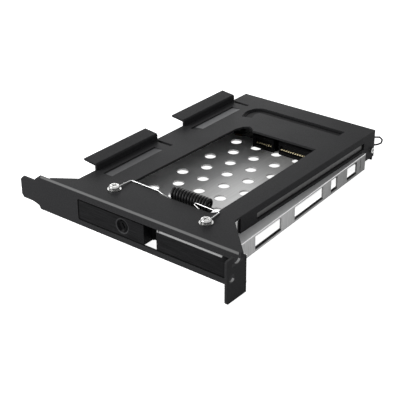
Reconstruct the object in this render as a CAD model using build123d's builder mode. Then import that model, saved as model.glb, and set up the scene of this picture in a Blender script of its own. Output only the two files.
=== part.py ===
# Hot swap drive caddy for an expansion slot, modelled in millimetres.
# X runs along the slot bracket from the tip of its tongue to its ear.
# Y runs into the computer from the outer face of the bracket.
# Z runs up from the table the rails stand on.
# Pieces are drawn from the tip of the tongue and saved from the middle of the bracket.
import os

from build123d import *

os.makedirs("parts", exist_ok=True)

# Slot bracket and cover, one folded black sheet
SHEET = 1.0
BRACKET_LENGTH = 120.02
TOP = 16.1
DEPTH = 128.6
BODY_LEFT = 27.0
BODY_RIGHT = 101.0
FLANGE_BOTTOM = 8.4
GUSSET_LEFT = 17.0
GUSSET_RIGHT = 118.2
GUSSET_BACK = 19.2
EAR_OUT = 11.3
EAR_TOP = 18.6
EAR_NOTCH = 4.3
BEND_RADIUS = 0.95
TAB_LENGTH = 9.7
TAB_BOTTOM = 2.9
PRESS_DEPTH = 0.6
TROUGH_DEPTH = 0.9

# Window in the face
WINDOW_LEFT = 34.0
WINDOW_RIGHT = 112.6
WINDOW_BOTTOM = 2.5
WINDOW_TOP = 12.3

# Drive tray, one folded bright sheet
TRAY_SHEET = 0.8
FLOOR_TOP = 2.7
TRAY_FRONT = 7.6
WALL_TOP = 13.4
HOLE_RADIUS = 2.65
HOLE_PITCH = 11.73
HOLE_ROW = 10.28
HOLE_X = 57.75
HOLE_Y = 102.85

# Side rails
RAIL_TOP = 8.3
RAIL_FRONT = 8.0
RAIL_BACK = 118.6
RAIL_OUT_FRONT = 5.5
RAIL_OUT_BACK = 1.3
RAIL_LIP = 1.8
SIDE_CUT = 3.6

# Door, lock and hinge
DOOR_GAP = 0.3
DOOR_THICK = 1.5
DOOR_FACE = 0.1
HINGE_X = 109.7
HINGE_Y = 2.7
PIN_RADIUS = 1.0
RUN_FIT = 0.05
RECESS_LEFT = 70.2
RECESS_RIGHT = 76.8
CUP_DEPTH = 5.9
CUP_ROUND = 5.2
LOCK_X = 58.7
LOCK_Z = 7.6
LOCK_BODY = 3.5
LOCK_MOUTH = 1.0
KEY_TILT = -31.7
BARREL_RADIUS = 1.85

# Hold-down spring: a coil held by two wires
COIL_WIRE = 0.6
COIL_RADIUS = 2.45
COIL_Y = 23.6
COIL_Z = TOP - 0.5
COIL_LEFT = 67.2
COIL_RIGHT = 85.5
COIL_PITCH = 1.45
WIRE = 0.25
WASHER = 0.35
WASHER_RADIUS = 2.9
SCREW_LEFT = (45.6, 10.4)
SCREW_RIGHT = (93.35, 10.85)

# Drive connector and board
PLUG_FRONT = DEPTH - 25.4
PLUG_CENTRE = 68.0
CONTACT_PITCH = 1.27
BOARD_TOP = 5.8
BOARD_THICK = 1.6

# Rear bracket
REAR_SHEET = 0.8
REAR_SCREW = (DEPTH - 2.6, 6.9)


def slab(x0, x1, y0, y1, z0, z1, mode=Mode.ADD):
    """A straight block between two corners, for the part being built."""
    with Locations(((x0 + x1) / 2, (y0 + y1) / 2, (z0 + z1) / 2)):
        Box(abs(x1 - x0), abs(y1 - y0), abs(z1 - z0), mode=mode)


def save(part, name):
    """Name a piece, set it on the middle of the bracket and write it to its own file."""
    placed = part.moved(Location((-BRACKET_LENGTH / 2, 0, 0)))
    placed.label = name
    export_step(placed, "parts/" + name + ".step")


# Bracket and cover: face, top, ear, wings and side flanges in one sheet
with BuildPart() as bracket_cover:
    # Face with the stepped tongue at its left end
    with BuildSketch(Plane.XZ):
        with BuildLine():
            Polyline(
                (0, 4.0),
                (0, 11.2),
                (1.6, 12.9),
                (8.6, 12.9),
                (9.2, 14.0),
                (11.8, TOP),
                (BRACKET_LENGTH, TOP),
                (BRACKET_LENGTH, 0),
                (11.2, 0),
                (10.4, 1.6),
                (6.8, 2.6),
                (1.2, 2.6),
                close=True,
            )
        make_face()
    extrude(amount=-SHEET)
    # Top plate with a gusset at each front corner
    with BuildSketch(Plane.XY.offset(TOP - SHEET)):
        with BuildLine():
            Polyline(
                (GUSSET_LEFT, 0),
                (GUSSET_RIGHT, 0),
                (GUSSET_RIGHT, 1.6),
                (BODY_RIGHT, GUSSET_BACK),
                (BODY_RIGHT, DEPTH),
                (BODY_LEFT, DEPTH),
                (BODY_LEFT, 8.6),
                (GUSSET_LEFT, 1.8),
                close=True,
            )
        make_face()
    extrude(amount=SHEET)
    # Rounded front bend between face and top
    bend = bracket_cover.edges().filter_by(Axis.X).sort_by(Axis.Z)[-6:]
    front_bend = bend.filter_by(lambda e: abs(e.center().Y) < 0.01 and e.center().Z > TOP - 0.01)
    fillet(front_bend, radius=BEND_RADIUS)
    # Side flanges folded down from the top
    slab(BODY_RIGHT - SHEET, BODY_RIGHT, 23.3, DEPTH, FLANGE_BOTTOM, TOP - SHEET)
    slab(BODY_LEFT, BODY_LEFT + SHEET, 10.5, DEPTH, FLANGE_BOTTOM, TOP - SHEET)
    long_folds = bracket_cover.edges().filter_by(Axis.Y).group_by(Axis.Z)[-1]
    fillet(long_folds.sort_by(Axis.X)[-1], radius=0.6)
    # Long slot in each flange and a tab down at its back end
    for inner, outer in ((BODY_RIGHT - SHEET, BODY_RIGHT), (BODY_LEFT + SHEET, BODY_LEFT)):
        slab(inner - 1, outer + 1, 34.4, DEPTH - TAB_LENGTH + 0.1, 9.7, 12.8, mode=Mode.SUBTRACT)
        slab(inner, outer, DEPTH - TAB_LENGTH, DEPTH, TAB_BOTTOM, FLANGE_BOTTOM + 0.1)
        with Locations(Location(((inner + outer) / 2, *REAR_SCREW), (0, 90, 0))):
            Cylinder(0.95, 3 * SHEET, mode=Mode.SUBTRACT)
    # Ear bent forward at the right end
    with BuildSketch(Plane.YZ.offset(BRACKET_LENGTH - SHEET)):
        with BuildLine():
            Polyline(
                (0.02, 0),
                (-EAR_OUT + 0.8, 0),
                (-EAR_OUT, 0.8),
                (-EAR_OUT, EAR_TOP - 0.8),
                (-EAR_OUT + 0.8, EAR_TOP),
                (-1.9, EAR_TOP),
                (-0.3, TOP + 0.8),
                (0.02, TOP),
                close=True,
            )
        make_face()
        # Open notch for the case screw, and a small round hole
        with Locations((-4.7, EAR_TOP)):
            SlotOverall(6.8, EAR_NOTCH, rotation=90, mode=Mode.SUBTRACT)
        with Locations((-7.9, 10.2)):
            Circle(1.6, mode=Mode.SUBTRACT)
    extrude(amount=SHEET)
    # Window for the drive
    with BuildSketch(Plane.XZ):
        with Locations(((WINDOW_LEFT + WINDOW_RIGHT) / 2, (WINDOW_BOTTOM + WINDOW_TOP) / 2)):
            RectangleRounded(WINDOW_RIGHT - WINDOW_LEFT, WINDOW_TOP - WINDOW_BOTTOM, 0.8)
    extrude(amount=-2 * SHEET, mode=Mode.SUBTRACT)
    # Large opening in the top over the drive
    with BuildSketch(Plane.XY.offset(TOP - 2 * SHEET)):
        with BuildLine():
            Polyline(
                (47.0, 20.5),
                (59.6, 20.8),
                (64.0, 18.2),
                (89.2, 18.2),
                (91.4, 20.4),
                (90.6, 94.0),
                (56.4, 93.6),
                (54.2, 96.0),
                (52.4, 96.4),
                (50.2, 94.6),
                (48.8, 90.4),
                close=True,
            )
        make_face()
    extrude(amount=3 * SHEET, mode=Mode.SUBTRACT)
    # Holes for the two spring screws
    with BuildSketch(Plane.XY.offset(TOP - 2 * SHEET)):
        with Locations(SCREW_LEFT, SCREW_RIGHT):
            Circle(1.5)
    extrude(amount=3 * SHEET, mode=Mode.SUBTRACT)
    # Trough pressed down along the back edge, with its bulge below the sheet
    for level, mode in ((TOP - SHEET, Mode.ADD), (TOP, Mode.SUBTRACT)):
        for width, depth in ((5.4, TROUGH_DEPTH / 3), (4.4, TROUGH_DEPTH * 2 / 3), (3.2, TROUGH_DEPTH)):
            with BuildSketch(Plane.XY.offset(level)):
                with BuildLine():
                    FilletPolyline((44.9, 104.7), (43.2, 110.6), (44.6, 115.3), (91.0, 115.3), radius=3.0)
                trace(line_width=width)
            extrude(amount=-depth, mode=mode)
    # Two wings bent up and out along the left edge, each with a relief slit at its end
    for wing_start, wing_end in ((18.6, 59.0), (78.0, 117.4)):
        with BuildSketch(Plane.XZ.offset(-wing_start)):
            with BuildLine():
                Polyline(
                    (BODY_LEFT, TOP - SHEET),
                    (BODY_LEFT, 18.2),
                    (20.6, 19.0),
                    (20.6, 19.9),
                    (BODY_LEFT + 0.3, 19.2),
                    (BODY_LEFT + 0.9, 18.6),
                    (BODY_LEFT + 0.9, TOP - SHEET),
                    close=True,
                )
            make_face()
        extrude(amount=-(wing_end - wing_start))
        slab(BODY_LEFT + 1.4, 37.0, wing_end - 1.8, wing_end, TOP - 2, TOP + 1, mode=Mode.SUBTRACT)
        # Sloped strip pressed beside the root of the wing, its bulge first
        for level, mode in ((TOP - SHEET, Mode.ADD), (TOP, Mode.SUBTRACT)):
            with BuildSketch(Plane.XZ.offset(-wing_start)):
                with BuildLine():
                    Polyline((31.7, level), (31.7, level - PRESS_DEPTH), (36.9, level), close=True)
                make_face()
            extrude(amount=-(wing_end - wing_start - 6.8), mode=mode)
save(bracket_cover.part, "bracket_cover")

# Tray: pierced floor and two walls against the flanges of the cover
WALL_LEFT = BODY_LEFT + SHEET
WALL_RIGHT = BODY_RIGHT - SHEET
with BuildPart() as drive_tray:
    slab(WALL_LEFT, WALL_RIGHT, TRAY_FRONT, DEPTH - 0.2, FLOOR_TOP - TRAY_SHEET, FLOOR_TOP)
    WALL_BACK = DEPTH - TAB_LENGTH - 0.2
    slab(WALL_LEFT, WALL_LEFT + TRAY_SHEET, TRAY_FRONT + 3, WALL_BACK, FLOOR_TOP - 0.1, WALL_TOP)
    slab(WALL_RIGHT - TRAY_SHEET, WALL_RIGHT, 23.5, WALL_BACK, FLOOR_TOP - 0.1, WALL_TOP)
    slab(WALL_RIGHT - TRAY_SHEET, WALL_RIGHT, TRAY_FRONT + 3, 23.6, FLOOR_TOP - 0.1, RAIL_TOP)
    # Cuts through the right fold between floor and wall
    for low, high in ((60.0, 88.0), (91.0, 99.5), (104.5, 117.0)):
        slab(WALL_RIGHT - SIDE_CUT, WALL_RIGHT + 1, low, high, FLOOR_TOP - 2 * TRAY_SHEET, 4.3, mode=Mode.SUBTRACT)
    with BuildSketch(Plane.XY.offset(FLOOR_TOP - 2 * TRAY_SHEET)):
        for row in range(9):
            shift = 0 if row % 2 == 1 else 1
            count = 5 if shift else 4
            first = HOLE_X - HOLE_PITCH - shift * HOLE_PITCH / 2
            for step in range(count):
                with Locations((first + step * HOLE_PITCH, HOLE_Y - row * HOLE_ROW)):
                    Circle(HOLE_RADIUS)
    extrude(amount=3 * TRAY_SHEET, mode=Mode.SUBTRACT)
save(drive_tray.part, "drive_tray")


def rail(side):
    """One side rail: inner leg, ledge, splayed skirt with four windows and a turned-in lip."""
    wall = WALL_RIGHT if side > 0 else WALL_LEFT
    front = wall + side * (RAIL_OUT_FRONT + SHEET)
    back = wall + side * (RAIL_OUT_BACK + SHEET)
    skin = side * TRAY_SHEET
    with BuildPart() as made:
        slab(wall, wall + skin, RAIL_FRONT, RAIL_BACK, 5.0, RAIL_TOP)
        with BuildSketch(Plane.XY.offset(RAIL_TOP - TRAY_SHEET)):
            with BuildLine():
                Polyline((wall, RAIL_FRONT), (front, RAIL_FRONT), (back, RAIL_BACK), (wall, RAIL_BACK), close=True)
            make_face()
        extrude(amount=TRAY_SHEET)
        with BuildSketch(Plane.XY):
            with BuildLine():
                Polyline(
                    (front - skin, RAIL_FRONT),
                    (front, RAIL_FRONT),
                    (back, RAIL_BACK),
                    (back - skin, RAIL_BACK),
                    close=True,
                )
            make_face()
        extrude(amount=RAIL_TOP)
        with BuildSketch(Plane.XY):
            with BuildLine():
                Polyline(
                    (front - side * RAIL_LIP, RAIL_FRONT),
                    (front, RAIL_FRONT),
                    (back, RAIL_BACK),
                    (back - side * RAIL_LIP, RAIL_BACK),
                    close=True,
                )
            make_face()
        extrude(amount=TRAY_SHEET)
        for low, high in ((26.8, 46.1), (56.8, 80.2), (87.2, 92.7), (101.6, 110.5), (113.8, 114.2)):
            slab(wall + side * 1.0, wall + side * 8, low, high, 1.4, 7.1, mode=Mode.SUBTRACT)
    return made.part


right_rail = rail(1)
save(right_rail, "right_rail")
left_rail = rail(-1)
save(left_rail, "left_rail")

# Door: plate with a finger recess and a hinge knuckle
DOOR_LEFT = WINDOW_LEFT + DOOR_GAP
DOOR_BOTTOM = WINDOW_BOTTOM + DOOR_GAP
DOOR_TOP = WINDOW_TOP - DOOR_GAP
KNUCKLE = HINGE_Y - DOOR_FACE
SPRING_ROOM = 9.6
with BuildPart() as door_panel:
    slab(DOOR_LEFT, HINGE_X, DOOR_FACE, DOOR_FACE + DOOR_THICK, DOOR_BOTTOM, DOOR_TOP)
    with Locations((HINGE_X, HINGE_Y, (DOOR_BOTTOM + DOOR_TOP) / 2)):
        Cylinder(KNUCKLE, DOOR_TOP - DOOR_BOTTOM)
    # Light bevel along the top of the right hand half
    with BuildSketch(Plane.YZ.offset(RECESS_RIGHT)):
        with BuildLine():
            Polyline((DOOR_FACE - 1, DOOR_TOP + 0.4), (DOOR_FACE - 1, DOOR_TOP - 2.0), (DOOR_FACE + 1.4, DOOR_TOP + 0.4), close=True)
        make_face()
    extrude(amount=HINGE_X - RECESS_RIGHT, mode=Mode.SUBTRACT)
    # Finger recess: a channel as tall as the door, rounded at its back right corner
    for wall, reach, mode in ((0.9, 0, Mode.ADD), (0, 1, Mode.SUBTRACT)):
        left = RECESS_LEFT - wall
        right = RECESS_RIGHT + wall
        back = DOOR_FACE + CUP_DEPTH + wall
        with BuildSketch(Plane.XY.offset(DOOR_BOTTOM - reach)):
            with BuildLine():
                Polyline((left + 0.8, back), (left, back - 0.8), (left, DOOR_FACE - reach), (right, DOOR_FACE - reach))
                bend = CUP_ROUND + wall
                Line((right, DOOR_FACE - reach), (right, back - bend))
                RadiusArc((right, back - bend), (right - bend, back), -bend)
                Line((right - bend, back), (left + 0.8, back))
            make_face()
        extrude(amount=DOOR_TOP - DOOR_BOTTOM + 2 * reach, mode=mode)
    # Bore for the lock and bore for the hinge pin
    with Locations(Location((LOCK_X, DOOR_FACE, LOCK_Z), (90, 0, 0))):
        Cylinder(LOCK_BODY, 8, mode=Mode.SUBTRACT)
    with Locations((HINGE_X, HINGE_Y, (DOOR_BOTTOM + DOOR_TOP) / 2)):
        Cylinder(PIN_RADIUS + RUN_FIT, 14, mode=Mode.SUBTRACT)
    # Room for the return spring round the pin
    slab(HINGE_X - 4.2, HINGE_X + 3, DOOR_FACE + DOOR_THICK, 6, SPRING_ROOM, DOOR_TOP + 1, mode=Mode.SUBTRACT)
    with Locations((HINGE_X, HINGE_Y, SPRING_ROOM + 2)):
        Cylinder(2.0, 4, mode=Mode.SUBTRACT)
save(door_panel.part, "door_panel")

# Hinge pin held in a small folded bracket behind the face
ARM_LOW = 1.1
ARM_HIGH = 12.6
FOOT_LEFT = WINDOW_RIGHT + 0.6
FOOT_RIGHT = 117.4
with BuildPart() as hinge_bracket:
    slab(FOOT_LEFT, FOOT_RIGHT, SHEET, SHEET + 0.9, ARM_LOW, ARM_HIGH + 0.9)
    slab(HINGE_X - 2.2, FOOT_RIGHT, SHEET, 4.9, ARM_LOW, ARM_LOW + 0.9)
    slab(HINGE_X - 2.2, FOOT_RIGHT, SHEET, 4.9, ARM_HIGH, ARM_HIGH + 0.9)
    with Locations((HINGE_X, HINGE_Y, 7)):
        Cylinder(PIN_RADIUS, 20, mode=Mode.SUBTRACT)
save(hinge_bracket.part, "hinge_bracket")

with BuildPart() as door_hinge_pin:
    with Locations((HINGE_X, HINGE_Y, (ARM_LOW + ARM_HIGH + 1.3) / 2)):
        Cylinder(PIN_RADIUS, ARM_HIGH - ARM_LOW + 1.3)
    with Locations((HINGE_X, HINGE_Y, ARM_HIGH + 1.3)):
        Cylinder(PIN_RADIUS + 0.5, 0.8)
save(door_hinge_pin.part, "door_hinge_pin")

# Return spring of the door, a few turns round the pin with one tail on the bracket
with BuildPart() as door_spring:
    with BuildLine():
        turns = Helix(pitch=0.52, height=2.08, radius=1.5, center=(HINGE_X, HINGE_Y, SPRING_ROOM + 0.5))
    with BuildSketch(Plane(origin=turns @ 0, z_dir=turns % 0)):
        Circle(0.2)
    sweep(path=turns, is_frenet=True)
    with BuildLine():
        tail = Line(turns @ 1, (turns @ 1) + Vector(4.0, -0.58, 0.0))
    with BuildSketch(Plane(origin=tail @ 0, z_dir=tail % 0)):
        Circle(0.2)
    sweep(path=tail)
save(door_spring.part, "door_spring")

# Lock: housing with a dished mouth, turning barrel, nut, cam and cam screw
with BuildPart() as lock_housing:
    with BuildSketch(Plane.XZ.offset(-DOOR_FACE)):
        with Locations((LOCK_X, LOCK_Z)):
            Circle(LOCK_BODY)
    extrude(amount=-4.2)
    with Locations(Location((LOCK_X, DOOR_FACE + LOCK_MOUTH / 2, LOCK_Z), (90, 0, 0))):
        Cone(BARREL_RADIUS + RUN_FIT + 0.1, LOCK_BODY - 0.25, LOCK_MOUTH, mode=Mode.SUBTRACT)
    with BuildSketch(Plane.XZ.offset(2)):
        with Locations((LOCK_X, LOCK_Z)):
            Circle(BARREL_RADIUS + RUN_FIT)
    extrude(amount=-10, mode=Mode.SUBTRACT)
save(lock_housing.part, "lock_housing")

BARREL_FRONT = DOOR_FACE + LOCK_MOUTH - 0.1
BARREL_BACK = 4.6
with BuildPart() as lock_barrel:
    with BuildSketch(Plane.XZ.offset(-BARREL_FRONT)):
        with Locations((LOCK_X, LOCK_Z)):
            Circle(BARREL_RADIUS)
    extrude(amount=-(BARREL_BACK - BARREL_FRONT))
    # Key slot
    with Locations(Location((LOCK_X, BARREL_FRONT, LOCK_Z), (0, KEY_TILT, 0))):
        Box(0.6, 3.6, 2.6, mode=Mode.SUBTRACT)
    # Threaded seat for the cam screw
    with BuildSketch(Plane.XZ.offset(-BARREL_BACK)):
        with Locations((LOCK_X, LOCK_Z)):
            Circle(0.6)
    extrude(amount=1.5, mode=Mode.SUBTRACT)
save(lock_barrel.part, "lock_barrel")

with BuildPart() as lock_nut:
    with BuildSketch(Plane.XZ.offset(-(DOOR_FACE + DOOR_THICK))):
        with Locations((LOCK_X, LOCK_Z)):
            RegularPolygon(LOCK_BODY + 1.0, 6)
            Circle(LOCK_BODY, mode=Mode.SUBTRACT)
    extrude(amount=-1.2)
save(lock_nut.part, "lock_nut")

CAM_REACH = 6.3
with BuildPart() as lock_cam:
    with BuildSketch(Plane.XZ.offset(-BARREL_BACK)):
        with Locations((LOCK_X, LOCK_Z)):
            Circle(2.2)
        with Locations((LOCK_X - CAM_REACH / 2, LOCK_Z)):
            Rectangle(CAM_REACH, 2.6)
        with Locations((LOCK_X, LOCK_Z)):
            Circle(0.6, mode=Mode.SUBTRACT)
    extrude(amount=-0.8)
save(lock_cam.part, "lock_cam")

with BuildPart() as cam_screw:
    with BuildSketch(Plane.XZ.offset(-(BARREL_BACK - 1.4))):
        with Locations((LOCK_X, LOCK_Z)):
            Circle(0.6)
    extrude(amount=-2.2)
    with BuildSketch(Plane.XZ.offset(-(BARREL_BACK + 0.8))):
        with Locations((LOCK_X, LOCK_Z)):
            Circle(1.2)
    extrude(amount=-0.5)
save(cam_screw.part, "cam_screw")

# Keeper the cam turns behind
with BuildPart() as lock_keeper:
    slab(LOCK_X - 5, LOCK_X + 5, SHEET, 4.1, TOP - SHEET - 0.9, TOP - SHEET)
    slab(LOCK_X - 5, LOCK_X + 5, 3.3, 4.1, 12.7, TOP - SHEET - 0.8)
save(lock_keeper.part, "lock_keeper")

# Hold-down spring: a tight coil that lies across the front of the opening
WASHER_TOP = TOP + WASHER
EYE_Z = WASHER_TOP + WIRE
HEAD_SEAT = EYE_Z + WIRE
PLATE_Z = TOP + WIRE + 0.05
NUT_BOTTOM = 13.3
SHANK = 1.5
HEAD = 1.0
EYE_RADIUS = SHANK + WIRE + 0.05
with BuildPart() as hold_down_spring:
    with BuildLine():
        coil = Helix(
            pitch=COIL_PITCH,
            height=COIL_RIGHT - COIL_LEFT,
            radius=COIL_RADIUS,
            center=(COIL_LEFT, COIL_Y, COIL_Z),
            direction=(1, 0, 0),
        )
    with BuildSketch(Plane(origin=coil @ 0, z_dir=coil % 0)):
        Circle(COIL_WIRE)
    sweep(path=coil, is_frenet=True)
save(hold_down_spring.part, "hold_down_spring")

# Two bent wires from the screws to the ends of the coil, each with an eye round its screw
COIL_REACH = COIL_RADIUS + COIL_WIRE + WIRE + 0.15
HOOK_Y = COIL_Y - COIL_REACH * 0.72
HOOK_Z = COIL_Z - COIL_REACH * 0.7


def bent_wire(screw, points, radius):
    """A round wire: an eye round the screw, then a rounded path through the points."""
    with BuildPart() as made:
        with BuildLine():
            path = FilletPolyline(*points, radius=radius)
        with BuildSketch(Plane(origin=path @ 0, z_dir=path % 0)):
            Circle(WIRE)
        sweep(path=path)
        with Locations((screw[0], screw[1], EYE_Z)):
            Torus(EYE_RADIUS, WIRE)
    return made.part


left_points = (
    (SCREW_LEFT[0] + 0.4, SCREW_LEFT[1] + EYE_RADIUS - 0.05, EYE_Z),
    (SCREW_LEFT[0] + 0.5, SCREW_LEFT[1] + 4.4, EYE_Z),
    (SCREW_LEFT[0] + 0.6, 20.3, PLATE_Z),
    (50.4, 20.3, PLATE_Z),
    (61.4, 19.9, PLATE_Z),
    (64.4, 19.4, COIL_Z - 0.1),
    (65.6, 19.6, HOOK_Z + 0.4),
    (COIL_LEFT + 1.2, HOOK_Y, HOOK_Z),
)
save(bent_wire(SCREW_LEFT, left_points, 0.5), "left_spring_wire")
right_points = (
    (SCREW_RIGHT[0], SCREW_RIGHT[1] + EYE_RADIUS - 0.05, EYE_Z),
    (SCREW_RIGHT[0], SCREW_RIGHT[1] + 4.4, EYE_Z),
    (SCREW_RIGHT[0] - 0.6, 20.3, PLATE_Z),
    (80.6, 20.2, PLATE_Z + 0.5),
    (80.7, 19.4, PLATE_Z + 0.1),
    (83.8, 18.9, COIL_Z - 0.2),
    (COIL_RIGHT - 1.2, HOOK_Y, HOOK_Z),
)
save(bent_wire(SCREW_RIGHT, right_points, 0.4), "right_spring_wire")

# Plain washers under the eyes
with BuildPart() as spring_washers:
    with BuildSketch(Plane.XY.offset(TOP)):
        with Locations(SCREW_LEFT, SCREW_RIGHT):
            Circle(WASHER_RADIUS)
            Circle(SHANK + 0.1, mode=Mode.SUBTRACT)
    extrude(amount=WASHER)
save(spring_washers.part, "spring_washers")

# Two pan head screws through the eyes and washers, with nuts under the cover
with BuildPart() as spring_screws:
    for spot in (SCREW_LEFT, SCREW_RIGHT):
        with BuildSketch(Plane.XY.offset(HEAD_SEAT)):
            with Locations(spot):
                Circle(2.3)
        extrude(amount=HEAD)
        with BuildSketch(Plane.XY.offset(NUT_BOTTOM)):
            with Locations(spot):
                Circle(SHANK)
        extrude(amount=HEAD_SEAT - NUT_BOTTOM + 0.2)
    crowns = spring_screws.edges().filter_by(GeomType.CIRCLE).group_by(Axis.Z)[-1]
    fillet(crowns, radius=0.6)
    # Cross recess in each head
    for spot in (SCREW_LEFT, SCREW_RIGHT):
        with Locations((spot[0], spot[1], HEAD_SEAT + HEAD)):
            Box(2.6, 0.6, 1.2, mode=Mode.SUBTRACT)
            Box(0.6, 2.6, 1.2, mode=Mode.SUBTRACT)
save(spring_screws.part, "spring_screws")

with BuildPart() as spring_screw_nuts:
    with BuildSketch(Plane.XY.offset(NUT_BOTTOM)):
        for spot in (SCREW_LEFT, SCREW_RIGHT):
            with Locations(spot):
                RegularPolygon(3.1, 6)
                Circle(SHANK, mode=Mode.SUBTRACT)
    extrude(amount=TOP - SHEET - NUT_BOTTOM)
save(spring_screw_nuts.part, "spring_screw_nuts")

# Drive connector: housing with two contact groups, seven and fifteen ways
SIGNAL_FIRST = PLUG_CENTRE - 15.87
POWER_FIRST = PLUG_CENTRE - 1.91
BOARD_BOTTOM = BOARD_TOP - BOARD_THICK
BOARD_BACK = DEPTH - 2.6
BOARD_FRONT = BOARD_BACK - 17.8
FOOT_Y = PLUG_FRONT + 10.2
RISER = PLUG_FRONT + 3.6
HOUSING_TOP = 9.0


def contact_xs(first, count):
    """Centres of a row of contacts at the standard pitch."""
    return [first + CONTACT_PITCH * step for step in range(count)]


with BuildPart() as drive_connector:
    slab(PLUG_CENTRE - 18.3, PLUG_CENTRE + 20.0, PLUG_FRONT, BOARD_FRONT, FLOOR_TOP, HOUSING_TOP)
    slab(PLUG_CENTRE - 18.3, PLUG_CENTRE + 18.5, BOARD_FRONT, FOOT_Y - 0.8, BOARD_TOP, HOUSING_TOP)
    for first, count in ((SIGNAL_FIRST, 7), (POWER_FIRST, 15)):
        low = first - 0.7
        high = first + CONTACT_PITCH * (count - 1) + 0.7
        slab(low, high, PLUG_FRONT - 1, PLUG_FRONT + 1.0, 4.2, 7.4, mode=Mode.SUBTRACT)
        for x in contact_xs(first, count):
            slab(x - 0.35, x + 0.35, PLUG_FRONT - 1, RISER, 5.1, 5.5, mode=Mode.SUBTRACT)
            slab(x - 0.35, x + 0.35, RISER - 0.4, RISER, 5.1, 6.6, mode=Mode.SUBTRACT)
            slab(x - 0.35, x + 0.35, RISER - 0.4, FOOT_Y - 0.4, 6.2, 6.6, mode=Mode.SUBTRACT)
    # Gap between the signal half and the power half
    slab(PLUG_CENTRE - 6.4, PLUG_CENTRE - 3.4, PLUG_FRONT - 1, PLUG_FRONT + 3.6, FLOOR_TOP - 1, HOUSING_TOP + 1, mode=Mode.SUBTRACT)
    chamfer(drive_connector.edges().filter_by(Axis.X).group_by(Axis.Z)[-1].sort_by(Axis.Y)[0], length=0.6)
save(drive_connector.part, "drive_connector")


def contact_row(first, count, front, back, low, high):
    """A row of straight contact strips."""
    with BuildPart() as row:
        for x in contact_xs(first, count):
            slab(x - 0.35, x + 0.35, front, back, low, high)
    return row.part


# Gold strips that start in the connector mouth and end on the board
def drive_contacts(first, count):
    """Strips with a pad in the mouth and a foot bent down on the board."""
    with BuildPart() as row:
        for x in contact_xs(first, count):
            slab(x - 0.35, x + 0.35, PLUG_FRONT + 0.3, RISER, 5.1, 5.5)
            slab(x - 0.35, x + 0.35, RISER - 0.4, RISER, 5.1, 6.6)
            slab(x - 0.35, x + 0.35, RISER - 0.4, FOOT_Y, 6.2, 6.6)
            slab(x - 0.35, x + 0.35, FOOT_Y - 0.4, FOOT_Y, BOARD_TOP, 6.3)
            slab(x - 0.35, x + 0.35, FOOT_Y - 0.4, FOOT_Y + 1.0, BOARD_TOP, BOARD_TOP + 0.25)
    return row.part


signal_contacts = drive_contacts(SIGNAL_FIRST, 7)
save(signal_contacts, "signal_contacts")
power_contacts = drive_contacts(POWER_FIRST, 15)
save(power_contacts, "power_contacts")

# Board on four spacers with four screws
SPACERS = [(x, y) for y in (BOARD_FRONT + 2.8, BOARD_BACK - 3.4) for x in (36.0, 94.0)]
with BuildPart() as backplane_board:
    slab(32.0, 98.0, BOARD_FRONT, BOARD_BACK, BOARD_BOTTOM, BOARD_TOP)
    with BuildSketch(Plane.XY.offset(BOARD_BOTTOM - 1)):
        with Locations(*SPACERS):
            Circle(1.25)
    extrude(amount=4, mode=Mode.SUBTRACT)
save(backplane_board.part, "backplane_board")

with BuildPart() as board_spacers:
    with BuildSketch(Plane.XY.offset(FLOOR_TOP)):
        with Locations(*SPACERS):
            Circle(2.3)
            Circle(1.25, mode=Mode.SUBTRACT)
    extrude(amount=BOARD_BOTTOM - FLOOR_TOP)
save(board_spacers.part, "board_spacers")

with BuildPart() as board_screws:
    with BuildSketch(Plane.XY.offset(BOARD_TOP)):
        with Locations(*SPACERS):
            Circle(2.3)
    extrude(amount=1.2)
    with BuildSketch(Plane.XY.offset(FLOOR_TOP)):
        with Locations(*SPACERS):
            Circle(1.25)
    extrude(amount=BOARD_TOP - FLOOR_TOP + 0.2)
    fillet(board_screws.edges().filter_by(GeomType.CIRCLE).group_by(Axis.Z)[-1], radius=0.6)
save(board_screws.part, "board_screws")

# Data and power sockets at the back of the board
SOCKET_BACK = DEPTH + 0.3
SOCKET_FRONT = SOCKET_BACK - 11.9
DATA_X = 47.0
POWER_X = 72.0


def socket(centre, width):
    """A shrouded socket that opens backwards, with a tongue inside."""
    with BuildPart() as made:
        slab(centre - width / 2, centre + width / 2, SOCKET_FRONT, SOCKET_BACK, BOARD_TOP, 12.6)
        slab(centre - width / 2 + 1, centre + width / 2 - 1, SOCKET_BACK - 6, SOCKET_BACK + 1, 7.0, 11.6, mode=Mode.SUBTRACT)
        slab(centre - width / 2 + 2.2, centre + width / 2 - 2.2, SOCKET_BACK - 6.5, SOCKET_BACK - 0.6, 8.7, 9.9)
    return made.part


data_socket = socket(DATA_X, 14.0)
save(data_socket, "data_socket")
power_socket = socket(POWER_X, 24.0)
save(power_socket, "power_socket")
data_contacts = contact_row(DATA_X - 3.81, 7, SOCKET_BACK - 5.9, SOCKET_BACK - 0.9, 9.9, 10.1)
save(data_contacts, "data_contacts")
power_pins = contact_row(POWER_X - 8.89, 15, SOCKET_BACK - 5.9, SOCKET_BACK - 0.9, 9.9, 10.1)
save(power_pins, "power_pins")

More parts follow.
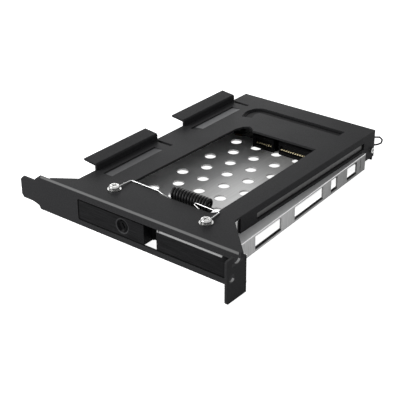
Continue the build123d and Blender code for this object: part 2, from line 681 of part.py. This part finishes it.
# Rear bracket: a back plate with a side leg inside each tab of the cover
with BuildPart() as rear_bracket:
    slab(WALL_LEFT, WALL_RIGHT, DEPTH, DEPTH + REAR_SHEET, 0.5, 14.6)
    for outer, inner in ((WALL_RIGHT, WALL_RIGHT - REAR_SHEET), (WALL_LEFT, WALL_LEFT + REAR_SHEET)):
        slab(inner, outer, DEPTH - TAB_LENGTH, DEPTH + 0.1, FLOOR_TOP, WALL_TOP)
        with Locations(Location(((inner + outer) / 2, *REAR_SCREW), (0, 90, 0))):
            Cylinder(0.95, 3 * REAR_SHEET, mode=Mode.SUBTRACT)
    for centre, width in ((DATA_X, 14.0), (POWER_X, 24.0)):
        slab(centre - width / 2 - 0.3, centre + width / 2 + 0.3, DEPTH - 1, DEPTH + 2, BOARD_TOP - 0.3, 12.9, mode=Mode.SUBTRACT)
save(rear_bracket.part, "rear_bracket")

# Small socket head screws through the tabs into the legs of the rear bracket
with BuildPart() as rear_screws:
    for side, wall in ((1, BODY_RIGHT), (-1, BODY_LEFT)):
        with BuildSketch(Plane.YZ.offset(wall)):
            with Locations(REAR_SCREW):
                Circle(1.35)
        extrude(amount=side * 0.9)
        with BuildSketch(Plane.YZ.offset(wall)):
            with Locations(REAR_SCREW):
                Circle(0.9)
        extrude(amount=-side * (SHEET + REAR_SHEET + 0.2))
        with BuildSketch(Plane.YZ.offset(wall + side * 0.9)):
            with Locations(REAR_SCREW):
                Circle(0.7)
        extrude(amount=-side * 0.5, mode=Mode.SUBTRACT)
save(rear_screws.part, "rear_screws")

# Wire bail at the rear right corner for the cables
BAIL = 0.4
BAIL_BACK = DEPTH + REAR_SHEET
with BuildPart() as cable_bail:
    with BuildLine():
        loop = FilletPolyline(
            (WALL_RIGHT - BAIL, BAIL_BACK - 0.5, 12.0),
            (WALL_RIGHT + 0.5, BAIL_BACK + 4.9, 10.3),
            (WALL_RIGHT + 0.5, BAIL_BACK + 7.6, 8.0),
            (WALL_RIGHT + 0.5, BAIL_BACK + 6.9, 6.6),
            (WALL_RIGHT + 0.5, BAIL_BACK + 3.3, 7.1),
            (WALL_RIGHT - BAIL, BAIL_BACK - 0.5, 7.9),
            radius=0.6,
        )
    with BuildSketch(Plane(origin=loop @ 0, z_dir=loop % 0)):
        Circle(BAIL)
    sweep(path=loop)
    slab(WALL_RIGHT - 6, WALL_RIGHT + 3, DEPTH - 2, BAIL_BACK, 5, 15, mode=Mode.SUBTRACT)
save(cable_bail.part, "cable_bail")
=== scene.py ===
# %% [markdown]
# # Hot swap drive caddy
# The caddy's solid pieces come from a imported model, the frame. This lesson gives each of them a
# finish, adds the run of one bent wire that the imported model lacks, and photographs the whole in a
# soft white studio. Lengths in the scene are metres; names that end in _mm and the limits of a
# zone are millimetres. X runs along the slot bracket, Y into the computer, Z up from the table.

import math

import bpy
import numpy as np
from mathutils import Matrix, Vector


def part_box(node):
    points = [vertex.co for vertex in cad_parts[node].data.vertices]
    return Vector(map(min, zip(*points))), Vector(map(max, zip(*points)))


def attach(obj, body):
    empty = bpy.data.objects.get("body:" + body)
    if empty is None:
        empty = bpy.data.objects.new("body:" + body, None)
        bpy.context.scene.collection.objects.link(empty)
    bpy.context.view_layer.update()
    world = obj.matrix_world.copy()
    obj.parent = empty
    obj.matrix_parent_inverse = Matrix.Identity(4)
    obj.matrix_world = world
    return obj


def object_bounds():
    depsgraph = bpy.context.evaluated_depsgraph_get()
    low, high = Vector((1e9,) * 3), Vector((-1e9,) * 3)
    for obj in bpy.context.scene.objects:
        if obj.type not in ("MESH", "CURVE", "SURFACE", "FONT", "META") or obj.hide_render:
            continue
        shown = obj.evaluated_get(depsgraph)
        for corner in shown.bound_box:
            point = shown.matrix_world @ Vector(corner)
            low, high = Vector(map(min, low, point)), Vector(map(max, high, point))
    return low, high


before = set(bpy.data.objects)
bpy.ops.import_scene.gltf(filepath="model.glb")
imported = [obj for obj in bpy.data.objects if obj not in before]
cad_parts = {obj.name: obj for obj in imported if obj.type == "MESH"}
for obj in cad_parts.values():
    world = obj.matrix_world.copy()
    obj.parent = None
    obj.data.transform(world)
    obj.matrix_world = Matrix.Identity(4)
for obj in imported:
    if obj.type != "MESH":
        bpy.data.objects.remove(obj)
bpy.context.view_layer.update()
MM = 0.001

# %% [markdown]
# ## Colour and node helpers
# Paint colours are easiest to read as the hex codes a picture editor shows, but light adds up
# linearly, so one function turns a code into linear values. A second one adds a shader node with
# its settings and links in one call, which keeps every finish below short enough to read as a list.


# %% Helpers
def hex_linear(code):
    """Linear red, green, blue and alpha of a hex colour.

    A part c goes to c/12.92 up to 0.04045, and to ((c+0.055)/1.055)**2.4 above it.
    """
    parts = [int(code[i : i + 2], 16) / 255 for i in (1, 3, 5)]
    return [c / 12.92 if c <= 0.04045 else ((c + 0.055) / 1.055) ** 2.4 for c in parts] + [1.0]


def add(tree, kind, settings=None, links=None):
    """Add a shader node; settings are attributes or socket values, links are socket: output pairs."""
    made = tree.nodes.new(kind)
    for key, value in (settings or {}).items():
        if isinstance(key, str) and hasattr(made, key) and key not in made.inputs:
            setattr(made, key, value)
        else:
            made.inputs[key].default_value = value
    for key, output in (links or {}).items():
        tree.links.new(output, made.inputs[key])
    return made


def finish_tree(name):
    """A new empty material and its node tree."""
    material = bpy.data.materials.new(name)
    material.use_nodes = True
    material.node_tree.nodes.clear()
    return material, material.node_tree


def close_tree(tree, shader):
    """Join the last shader to the material's output."""
    add(tree, "ShaderNodeOutputMaterial", links={"Surface": shader.outputs[0]})


def cells_per_metre(size_mm):
    """Noise scale for a pattern whose blobs are size_mm across."""
    return 1000.0 / size_mm


def zone(tree, limits, soft_mm):
    """A mask that is 1 inside a box and fades over its border; limits are axis: (low, high) in mm.

    Along each axis it falls from 1 to 0 while the distance from the box's middle goes from
    half the box less half the softness to half the box and half the softness; the masks multiply.
    """
    place = add(tree, "ShaderNodeTexCoord")
    split = add(tree, "ShaderNodeSeparateXYZ", links={0: place.outputs["Object"]})
    fade = soft_mm * MM / 2
    mask = None
    for axis, (low_mm, high_mm) in limits.items():
        centre = (low_mm + high_mm) / 2 * MM
        half = (high_mm - low_mm) / 2 * MM
        offset = add(
            tree,
            "ShaderNodeMath",
            {"operation": "SUBTRACT", 1: centre},
            {0: split.outputs[axis]},
        )
        away = add(tree, "ShaderNodeMath", {"operation": "ABSOLUTE"}, {0: offset.outputs[0]})
        inside = add(
            tree,
            "ShaderNodeMapRange",
            {"From Min": half - fade, "From Max": half + fade, "To Min": 1.0, "To Max": 0.0},
            {"Value": away.outputs[0]},
        )
        if mask:
            inside = add(
                tree,
                "ShaderNodeMath",
                {"operation": "MULTIPLY"},
                {0: mask.outputs[0], 1: inside.outputs[0]},
            )
        mask = inside
    return mask.outputs[0]


def blend_colour(tree, mask, under, over):
    """Colour that goes from under to over with the mask; under is a hex code or a colour output."""
    settings = {"data_type": "RGBA", 7: hex_linear(over)}
    links = {0: mask}
    if isinstance(under, str):
        settings[6] = hex_linear(under)
    else:
        links[6] = under
    return add(tree, "ShaderNodeMix", settings, links).outputs[2]


def paint_zones(tree, colour, zones):
    """Lay each zone's colour over the last; zones are (hex code, limits, softness in mm)."""
    for over, limits, soft_mm in zones:
        colour = blend_colour(tree, zone(tree, limits, soft_mm), colour, over)
    return colour


# %% [markdown]
# ## Powder coat
# The cover and the rear bracket are steel under a satin black powder coat. Powder melts into a
# skin with a faint orange peel, about 0.6 mm from crest to crest and a few microns high. A fine
# noise as a bump gives that, and a broad one shifts the gloss a little, as handling does. Painting
# the peel into the mesh would cost millions of faces for a height nobody can measure.
#
# Places where the coat looks different are boxes in the material: they need no cut in the mesh,
# and their edges can be soft.


# %% Black finishes
NOISE_SPREAD = {"From Min": 0.35, "From Max": 0.65}  # most of a noise's values lie in here
HANDLED_MM = 18.0  # a patch that a hand has polished
POLISHED, DULLED = 0.05, 0.07  # how far handling moves the roughness down and up
SPECK_SHARE = 0.35  # how far the palest speck goes towards its colour
DARK_SPECK = "#222223"


def powder_coat(
    name, code, gloss, peel_mm=0.6, peel_height=0.000004, sheen=0.5, speck_code=DARK_SPECK, zones=()
):
    """Satin paint with orange peel, paler specks on its crests and a slow change of gloss."""
    material, tree = finish_tree(name)
    place = add(tree, "ShaderNodeTexCoord")
    peel = add(
        tree,
        "ShaderNodeTexNoise",
        {"Scale": cells_per_metre(peel_mm), "Detail": 2.0, "Roughness": 0.5},
        {"Vector": place.outputs["Object"]},
    )
    cloud = add(
        tree,
        "ShaderNodeTexNoise",
        {"Scale": cells_per_metre(HANDLED_MM), "Detail": 3.0},
        {"Vector": place.outputs["Object"]},
    )
    rough = add(
        tree,
        "ShaderNodeMapRange",
        {"To Min": gloss - POLISHED, "To Max": gloss + DULLED},
        {"Value": cloud.outputs["Fac"]},
    )
    bump = add(
        tree,
        "ShaderNodeBump",
        {"Strength": 0.6, "Distance": peel_height},
        {"Height": peel.outputs["Fac"]},
    )
    speck = add(
        tree,
        "ShaderNodeMapRange",
        {**NOISE_SPREAD, "To Min": 0.0, "To Max": SPECK_SHARE},
        {"Value": peel.outputs["Fac"]},
    )
    colour = blend_colour(tree, speck.outputs["Result"], code, speck_code)
    shader = add(
        tree,
        "ShaderNodeBsdfPrincipled",
        {"Specular IOR Level": sheen},
        {
            "Base Color": paint_zones(tree, colour, zones),
            "Roughness": rough.outputs["Result"],
            "Normal": bump.outputs["Normal"],
        },
    )
    close_tree(tree, shader)
    return material


COVER_ZONES = (
    # Painted highlight on the pressed strips beside the wings, where they face the light
    ("#565657", {0: (-28.1, -23.4), 1: (18.9, 52.0)}, 0.6),
    ("#6c6c6d", {0: (-28.1, -23.4), 1: (81.3, 110.4)}, 0.6),
    # Painted highlight along the fold between face and top
    ("#6c6c6c", {0: (-47.6, 57.0), 1: (-0.1, 0.75), 2: (15.3, 16.2)}, 0.35),
    # Lit walls of the holes in the ear
    ("#7c7c7c", {0: (58.8, 59.97), 1: (-9.6, -6.2), 2: (8.4, 9.4)}, 0.1),
    ("#7c7c7c", {0: (58.8, 59.97), 1: (-8.1, -1.3), 2: (14.8, 16.2)}, 0.1),
    # Painted shade in the pressed trough at the back, darkest where the trough is deepest
    ("#0d0d0e", {0: (-20.0, 35.0), 1: (100.0, 119.0), 2: (12.5, 15.5)}, 1.0),
)
# Powder coat: satin black, nearly without mirror light, so that a white room leaves it dark
BLACK_COAT = powder_coat(
    "black_powder_coat", "#2a2a2b", 0.4, sheen=0.02, speck_code="#3a3a3b", zones=COVER_ZONES
)
# The same coat in the shade of the rear end, where it looks blacker
REAR_COAT = powder_coat("rear_bracket_powder_coat", "#121213", 0.45, sheen=0.02)
print("powder coats", BLACK_COAT.name, REAR_COAT.name)

# %% [markdown]
# ## Grained metals and paints
# The two halves of the door are brushed before they are blackened, so their shine is drawn out
# along the bracket. Stretching a noise along X, 9 mm long and 0.12 mm across, and letting it move
# the gloss and a very low bump does this without a single picture file. The same stretched noise,
# with other sizes, gives the rolling lines of the bright sheets and the turning lines of screws.
# Real brushing is about 0.02 mm across, which is too fine to show here, so it is drawn coarser.


# %% Stretched grain
STREAK_GLOSS = 0.06  # how far a streak moves the roughness either way


def grain(tree, long_axis, length_mm, width_mm):
    """Noise stretched along one axis, as brushing or rolling leaves it."""
    place = add(tree, "ShaderNodeTexCoord")
    sizes = [width_mm] * 3
    sizes[long_axis] = length_mm
    spread = add(
        tree,
        "ShaderNodeMapping",
        {"Scale": [cells_per_metre(s) for s in sizes]},
        {"Vector": place.outputs["Object"]},
    )
    return add(tree, "ShaderNodeTexNoise", {"Scale": 1.0, "Detail": 3.0}, {"Vector": spread.outputs[0]})


def brushed(
    name,
    dark,
    light,
    gloss,
    metallic,
    long_axis,
    length_mm,
    width_mm,
    depth=0.000002,
    sheen=0.5,
    zones=(),
):
    """Metal or thin paint over metal whose grain runs along one axis, from dark to light streaks."""
    material, tree = finish_tree(name)
    lines = grain(tree, long_axis, length_mm, width_mm)
    rough = add(
        tree,
        "ShaderNodeMapRange",
        {"To Min": gloss - STREAK_GLOSS, "To Max": gloss + STREAK_GLOSS},
        {"Value": lines.outputs["Fac"]},
    )
    streak = add(tree, "ShaderNodeMapRange", NOISE_SPREAD, {"Value": lines.outputs["Fac"]})
    bump = add(
        tree,
        "ShaderNodeBump",
        {"Strength": 0.5, "Distance": depth},
        {"Height": lines.outputs["Fac"]},
    )
    colour = blend_colour(tree, streak.outputs["Result"], dark, light)
    shader = add(
        tree,
        "ShaderNodeBsdfPrincipled",
        {"Metallic": metallic, "Specular IOR Level": sheen},
        {
            "Base Color": paint_zones(tree, colour, zones),
            "Roughness": rough.outputs["Result"],
            "Normal": bump.outputs["Normal"],
        },
    )
    close_tree(tree, shader)
    return material


# %% Grained finishes
ALONG_X, ALONG_Y, ALONG_Z = range(3)
DOOR_ZONES = (
    # Dark joint round the door
    ("#010101", {0: (-26.0, -25.35), 1: (-0.1, 1.7)}, 0.1),
    ("#010101", {0: (-26.0, 16.4), 1: (-0.1, 1.7), 2: (11.65, 12.1)}, 0.1),
    ("#010101", {0: (-26.0, 53.0), 1: (-0.1, 1.7), 2: (2.7, 3.2)}, 0.1),
    # Painted highlight along the door's top bevel, right of the recess
    ("#a8a8a8", {0: (17.2, 49.0), 1: (-0.1, 1.2), 2: (11.15, 12.1)}, 0.2),
)
TRAY_ZONES = (
    # Painted light on the floor's left, which lies under the cover, and painted shade at the back
    # right, where the connector shades it
    ("#f4f4f3", {0: (-80.0, -10.0)}, 24.0),
    ("#5a5a59", {0: (12.0, 120.0), 1: (90.0, 260.0)}, 50.0),
    # Painted shade on the walls, which stand under the cover
    ("#5c5c5b", {2: (3.6, 14.0)}, 0.4),
)
WINDOWS_Y = ((26.8, 46.1), (56.8, 80.2), (87.2, 92.7), (101.6, 110.5))
RAIL_ZONES = (
    # Painted light on the ledge, which lies in the flange's shade, painted shade that deepens towards
    # the back, and a painted highlight along the fold
    ("#f4f4f3", {2: (8.2, 8.5)}, 0.1),
    ("#5c5c5b", {1: (84.0, 200.0)}, 76.0),
    ("#ffffff", {1: (7.0, 119.5), 2: (7.8, 8.28)}, 0.1),
# Painted shade on the inward lips below the windows
) + tuple(("#040404", {1: window, 2: (0.88, 1.46)}, 0.06) for window in WINDOWS_Y)
LOCK_ZONES = (("#3c3c3d", {1: (0.0, 0.3)}, 0.1),)  # painted highlight on the rim

# Thin black paint over brushed steel: dark, with long faint streaks along the bracket
DOOR_PAINT = brushed(
    "brushed_black_door_paint",
    "#0c0c0d",
    "#242425",
    gloss=0.4,
    metallic=0.0,
    long_axis=ALONG_X,
    length_mm=9.0,
    width_mm=0.12,
    depth=0.000003,
    sheen=0.02,
    zones=DOOR_ZONES,
)
# Zinc plated sheet, rolled along the caddy: a dull even grey. The zinc scatters most of its light,
# so only part of it is metallic
TRAY_STEEL = brushed(
    "bright_tray_steel",
    "#c6c6c5",
    "#d2d2d1",
    gloss=0.5,
    metallic=0.22,
    long_axis=ALONG_Y,
    length_mm=22.0,
    width_mm=0.35,
    zones=TRAY_ZONES,
)
# The same sheet with its rolling lines upright: a little glossier, and with painted shade that darkens
# it towards the back
RAIL_STEEL = brushed(
    "bright_rail_steel",
    "#a0a09f",
    "#bababa",
    gloss=0.4,
    metallic=0.4,
    long_axis=ALONG_Z,
    length_mm=9.0,
    width_mm=0.3,
    zones=RAIL_ZONES,
)
# Blackened zinc casting: the deepest black, with a painted highlight in grey on its rim
LOCK_BLACK = brushed(
    "blackened_lock_casting",
    "#050506",
    "#0e0e0f",
    gloss=0.3,
    metallic=0.0,
    long_axis=ALONG_Z,
    length_mm=2.0,
    width_mm=0.15,
    sheen=0.03,
    zones=LOCK_ZONES,
)
# The small metals below have gloss, metallic share, grain axis, grain length and grain width
# Plain steel of the hidden small parts: bare metal with short streaks
SMALL_STEEL = brushed("small_part_steel", "#969696", "#b2b2b2", 0.32, 1.0, ALONG_X, 6.0, 0.2)
# Nickel plate: smooth and bright, the sharpest mirror of all the pieces
NICKEL = brushed("nickel_plated_screw_steel", "#a4a4a3", "#c6c6c5", 0.22, 1.0, ALONG_Z, 2.0, 0.2)
# Gold plate: pale yellow points in the dark of the connector
GOLD = brushed("gold_plated_contact", "#ffeaac", "#fff6d8", 0.3, 0.1, ALONG_Y, 2.0, 0.1)
# Turned brass, coloured dark brown so that the spacers stay dark in the back corner
BRASS = brushed("turned_brass", "#33291a", "#4a3b22", 0.4, 0.9, ALONG_Z, 2.0, 0.2)
print("grained finishes", [m.name for m in (DOOR_PAINT, TRAY_STEEL, RAIL_STEEL, NICKEL, GOLD)])

# %% [markdown]
# ## Spring wire
# The two bent wires are bright drawn steel; the coil that they carry is blackened. Drawing leaves
# fine lines along a wire, a tenth of a millimetre apart, which break its highlight a little.

# %% Spring wire finishes
BRIGHT_WIRE = brushed("bright_spring_wire", "#98989a", "#c0c0be", 0.25, 1.0, ALONG_X, 3.0, 0.1)
BLACK_WIRE = brushed(
    "blackened_spring_wire", "#0c0c0d", "#1a1a1b", 0.32, 0.2, ALONG_X, 2.0, 0.1, sheen=0.2
)
print("wire finishes", BRIGHT_WIRE.name, BLACK_WIRE.name)

# %% [markdown]
# ## Plastics and board
# Connector bodies are moulded black plastic with a spark-eroded grain of about 0.15 mm. The board
# is glass laminate under black solder resist, with copper tracks that show as slightly paler
# lines: a brick pattern with thin joints, 1.9 mm by 0.9 mm, reads as tracks at this size.


# %% Plastics and board
def moulded(name, code, gloss):
    """Moulded plastic with a fine eroded grain."""
    return powder_coat(name, code, gloss, peel_mm=0.15, peel_height=0.000003, sheen=0.06)


def board_finish():
    """Solder resist over copper tracks; the pattern's sizes are millimetres."""
    material, tree = finish_tree("solder_resist_board")
    place = add(tree, "ShaderNodeTexCoord")
    tracks = add(
        tree,
        "ShaderNodeTexBrick",
        {
            "Scale": cells_per_metre(1.0),
            "Brick Width": 1.9,
            "Row Height": 0.9,
            "Mortar Size": 0.12,
            "Color1": hex_linear("#0b0f0d"),
            "Color2": hex_linear("#0c120f"),
            "Mortar": hex_linear("#15201a"),
        },
        {"Vector": place.outputs["Object"]},
    )
    shader = add(
        tree,
        "ShaderNodeBsdfPrincipled",
        {"Roughness": 0.35, "Specular IOR Level": 0.1},
        {"Base Color": tracks.outputs["Color"]},
    )
    close_tree(tree, shader)
    return material


# Moulded plastic: a flat black that the gold contacts stand out from
PLASTIC = moulded("moulded_black_plastic", "#0a0a0b", 0.45)
# Solder resist: glossier than the plastic, with tracks that just show
BOARD = board_finish()
# Plastic coat of the wire at the back: a thin black line against the white
BAIL_COAT = moulded("black_coated_wire", "#0a0a0b", 0.4)
print("plastics", PLASTIC.name, BOARD.name, BAIL_COAT.name)

# %% [markdown]
# ## Give every node its finish
# One table from material to node names is easier to check than a line for each node, and a node
# that is missing from it stops the script.

# %% Assign finishes
FINISHES = {
    BLACK_COAT: ["bracket_cover"],
    REAR_COAT: ["rear_bracket"],
    DOOR_PAINT: ["door_panel"],
    TRAY_STEEL: ["drive_tray"],
    RAIL_STEEL: ["right_rail", "left_rail"],
    SMALL_STEEL: ["hinge_bracket", "lock_keeper", "lock_cam", "door_hinge_pin", "door_spring"],
    NICKEL: [
        "spring_screws",
        "spring_washers",
        "spring_screw_nuts",
        "board_screws",
        "rear_screws",
        "lock_nut",
        "cam_screw",
    ],
    GOLD: ["signal_contacts", "power_contacts", "data_contacts", "power_pins"],
    BRASS: ["board_spacers"],
    LOCK_BLACK: ["lock_housing", "lock_barrel"],
    BLACK_WIRE: ["hold_down_spring"],
    BRIGHT_WIRE: ["left_spring_wire", "right_spring_wire"],
    PLASTIC: ["drive_connector", "data_socket", "power_socket"],
    BOARD: ["backplane_board"],
    BAIL_COAT: ["cable_bail"],
}
given = {}
for material, names in FINISHES.items():
    for node_name in names:
        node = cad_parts[node_name]
        node.data.materials.clear()
        node.data.materials.append(material)
        given[node_name] = material.name
missing = sorted(set(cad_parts) - set(given))
assert not missing, missing
print(len(given), "nodes finished")

# %% [markdown]
# ## Left wire
# The left wire leaves its eye at the screw, runs back over the top, turns right and dips to the
# near side of the coil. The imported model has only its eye. A curve object with a bevel would do
# for the rest, but a tube worked out with numpy shows what such a bevel is: a circle set square to
# the path at each of its points. The bends of a bent wire are short, so each corner of the route
# is cut off by a small quadratic curve.


# %% Wire path and tube
def bent_path(points, reach, steps=6):
    """Straight runs with short bends: near a corner P the path is (1-t)^2 A + 2t(1-t) P + t^2 B,
    where A and B lie at the distance reach before and after P."""
    before, at, after = points[:-2], points[1:-1], points[2:]
    start = at + (before - at) / np.linalg.norm(before - at, axis=1, keepdims=True) * reach
    end = at + (after - at) / np.linalg.norm(after - at, axis=1, keepdims=True) * reach
    t = np.linspace(0.0, 1.0, steps)[None, :, None]
    bends = (1 - t) ** 2 * start[:, None] + 2 * t * (1 - t) * at[:, None] + t**2 * end[:, None]
    return np.vstack([points[:1], bends.reshape(-1, 3), points[-1:]])


def wire_tube(name, path, radius, sides=12):
    """A circle carried along a path: point + radius (cos a side + sin a over), where side is square
    to the path and level, and over is square to both."""
    along = np.gradient(path, axis=0)
    along /= np.linalg.norm(along, axis=1, keepdims=True)
    side = np.cross(along, (0.0, 0.0, 1.0))
    side /= np.linalg.norm(side, axis=1, keepdims=True)
    over = np.cross(side, along)
    a = np.linspace(0.0, 2 * np.pi, sides, endpoint=False)[None, :, None]
    rings = path[:, None] + radius * (np.cos(a) * side[:, None] + np.sin(a) * over[:, None])
    rows, turn = np.arange(len(path) - 1)[:, None], np.arange(sides)[None, :]
    here, there = rows * sides + turn, rows * sides + (turn + 1) % sides
    walls = np.stack([here, here + sides, there + sides, there], axis=-1).reshape(-1, 4)
    caps = [list(range(sides)), list(range(len(path) * sides - 1, (len(path) - 1) * sides - 1, -1))]
    mesh = bpy.data.meshes.new(name)
    mesh.from_pydata(rings.reshape(-1, 3).tolist(), [], walls.tolist() + caps)
    mesh.polygons.foreach_set("use_smooth", np.arange(len(mesh.polygons)) < len(walls))
    made = bpy.data.objects.new(name, mesh)
    bpy.context.scene.collection.objects.link(made)
    return made


# %% Left wire run
WIRE_RADIUS = 0.25  # mm, as are the next heights and places
BEND_REACH = 0.6
wire_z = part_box("left_spring_wire")[1][2] / MM - WIRE_RADIUS
coil_low, coil_high = (np.array(corner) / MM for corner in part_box("hold_down_spring"))
coil_y, coil_z = (coil_low[1] + coil_high[1]) / 2, (coil_low[2] + coil_high[2]) / 2
OVER_TOP = 16.4  # just clear of the top plate
LEFT_RUN = np.array(
    [
        # Back from the eye, down to the top plate and round the first bend
        (-14.0, 12.2, wire_z),
        (-13.9, 15.6, wire_z),
        (-13.8, 20.3, OVER_TOP),
        (-9.6, 20.3, OVER_TOP),
        # Across the opening, then down to the near side of the coil
        (1.4, 19.9, OVER_TOP),
        (4.4, 19.4, coil_z + 0.2),
        (coil_low[0] + 1.4, coil_y - 2.75, coil_z - 1.9),
    ]
)
left_run = wire_tube("left_wire_run", bent_path(LEFT_RUN * MM, BEND_REACH * MM), WIRE_RADIUS * MM)
left_run.data.materials.append(BRIGHT_WIRE)
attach(left_run, "frame")
wire_end = [round(float(v), 1) for v in LEFT_RUN[-1]]
print("left wire", len(left_run.data.polygons), "faces, ends at", wire_end)

# %% [markdown]
# ## Studio
# The floor is white and glows a little for the camera, so it meets a white background without a
# line and still shows the caddy's soft shadow. For every other kind of ray it is a plain pale
# surface: a glowing floor would light the caddy from below and flatten it.

# %% Floor and world
low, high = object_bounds()
middle = (low + high) / 2


def plane(name, size, at):
    """A square of the given size as a mesh, facing up, built where it stands."""
    half = size / 2
    corners = np.array([[-half, -half, 0], [half, -half, 0], [half, half, 0], [-half, half, 0]])
    mesh = bpy.data.meshes.new(name)
    mesh.from_pydata((corners + np.array(at)).tolist(), [], [(0, 1, 2, 3)])
    made = bpy.data.objects.new(name, mesh)
    bpy.context.scene.collection.objects.link(made)
    return made


def seen_and_unseen(tree, shown, hidden):
    """Mix two shaders: shown for camera, mirror and glass rays, hidden for light that spreads."""
    path = add(tree, "ShaderNodeLightPath")
    mirrored = add(
        tree,
        "ShaderNodeMath",
        {"operation": "MAXIMUM"},
        {0: path.outputs["Is Camera Ray"], 1: path.outputs["Is Glossy Ray"]},
    )
    seen = add(
        tree,
        "ShaderNodeMath",
        {"operation": "MAXIMUM"},
        {0: mirrored.outputs[0], 1: path.outputs["Is Transmission Ray"]},
    )
    return add(
        tree,
        "ShaderNodeMixShader",
        links={0: seen.outputs[0], 1: hidden.outputs[0], 2: shown.outputs[0]},
    )


FLOOR_SIZE, FLOOR_GAP = 12.0, 0.00005
FLOOR_GLOW, SKY_SEEN, SKY_LIGHT = 0.9, 1.0, 0.45
floor = plane("floor", FLOOR_SIZE, (middle.x, middle.y, low.z - FLOOR_GAP))
material, tree = finish_tree("white_studio_floor")
glow = add(tree, "ShaderNodeEmission", {"Color": hex_linear("#ffffff"), "Strength": FLOOR_GLOW})
paper = add(tree, "ShaderNodeBsdfDiffuse", {"Color": hex_linear("#f2f2f2")})
lit = add(tree, "ShaderNodeAddShader", links={0: glow.outputs[0], 1: paper.outputs[0]})
pale = add(tree, "ShaderNodeBsdfDiffuse", {"Color": hex_linear("#c8c8c8")})
close_tree(tree, seen_and_unseen(tree, lit, pale))
floor.data.materials.append(material)

world = bpy.data.worlds.new("studio_world")
bpy.context.scene.world = world
world.use_nodes = True
tree = world.node_tree
tree.nodes.clear()
behind = add(tree, "ShaderNodeBackground", {"Color": hex_linear("#ffffff"), "Strength": SKY_SEEN})
around = add(tree, "ShaderNodeBackground", {"Color": hex_linear("#f4f5f7"), "Strength": SKY_LIGHT})
sky = seen_and_unseen(tree, behind, around)
add(tree, "ShaderNodeOutputWorld", links={"Surface": sky.outputs[0]})
print("floor at", round(low.z / MM, 3), "mm")

# %% [markdown]
# ## Lights
# A softbox stands low at the back left. It skims the top of the cover and gives it its soft
# shine. A stronger one at the front left lights the bracket's face, and a small weak one nearer
# the front draws the bright line of the fold. The ear and the rail face right, where there is only
# the room, so they stay darker, as they are in the photo.


# %% Lights
def softbox(name, at, size, power):
    """A square area light aimed at the middle of the caddy."""
    lamp = bpy.data.lights.new(name, "AREA")
    lamp.shape = "SQUARE"
    lamp.size = size
    lamp.energy = power
    made = bpy.data.objects.new(name, lamp)
    bpy.context.scene.collection.objects.link(made)
    made.location = at
    made.rotation_mode = "QUATERNION"
    made.rotation_quaternion = (middle - Vector(at)).to_track_quat("-Z", "Y")
    return made


# Name, place in metres, width in metres and power in watts
LIGHTS = (
    ("key_softbox", (-0.72, 0.84, 0.28), 0.5, 2.1),
    ("front_softbox", (-0.55, -0.75, 0.45), 0.5, 9.0),
    # The bright line of the fold is mostly the highlight painted into the coat; this lamp adds a little
    # to it
    ("fold_softbox", (-0.5, -0.38, 0.64), 0.22, 1.2),
)
print("lights", [softbox(*light).name for light in LIGHTS])

# %% [markdown]
# ## Camera
# The camera stands where the photo was taken from. Fitting the bracket's and cover's edges gave
# its place, a 94 mm lens on a 36 mm sensor, 38.4 degrees round to the right and 27.8 degrees up,
# with a roll of 0.4 degrees. Its three axes are written as a matrix, so no aiming helper is needed.

# %% Camera
AZIMUTH, ELEVATION, ROLL = 0.6702, 0.4847, -0.00691  # radians
SENSOR_MM, LENS_MM, SIDE_SHIFT = 36.0, 94.28, -0.0008
NEAREST, FARTHEST = 0.01, 20.0
CAMERA_PLACE = (0.253052, -0.269858, 0.213914)
back = Vector(
    (
        math.sin(AZIMUTH) * math.cos(ELEVATION),
        -math.cos(AZIMUTH) * math.cos(ELEVATION),
        math.sin(ELEVATION),
    )
)
flat_right = Vector((math.cos(AZIMUTH), math.sin(AZIMUTH), 0))
flat_up = back.cross(flat_right)
right = math.cos(ROLL) * flat_right + math.sin(ROLL) * flat_up
up = -math.sin(ROLL) * flat_right + math.cos(ROLL) * flat_up
lens = bpy.data.cameras.new("photo_camera")
lens.sensor_width = SENSOR_MM
lens.lens = LENS_MM
lens.shift_x = SIDE_SHIFT
lens.clip_start, lens.clip_end = NEAREST, FARTHEST
camera = bpy.data.objects.new("photo_camera", lens)
bpy.context.scene.collection.objects.link(camera)
camera.rotation_mode = "QUATERNION"
camera.rotation_quaternion = Matrix((right, up, back)).transposed().to_quaternion()
camera.location = CAMERA_PLACE
bpy.context.scene.camera = camera
bpy.context.scene.view_settings.view_transform = "Standard"
print("camera at", [round(v / MM, 1) for v in camera.location])
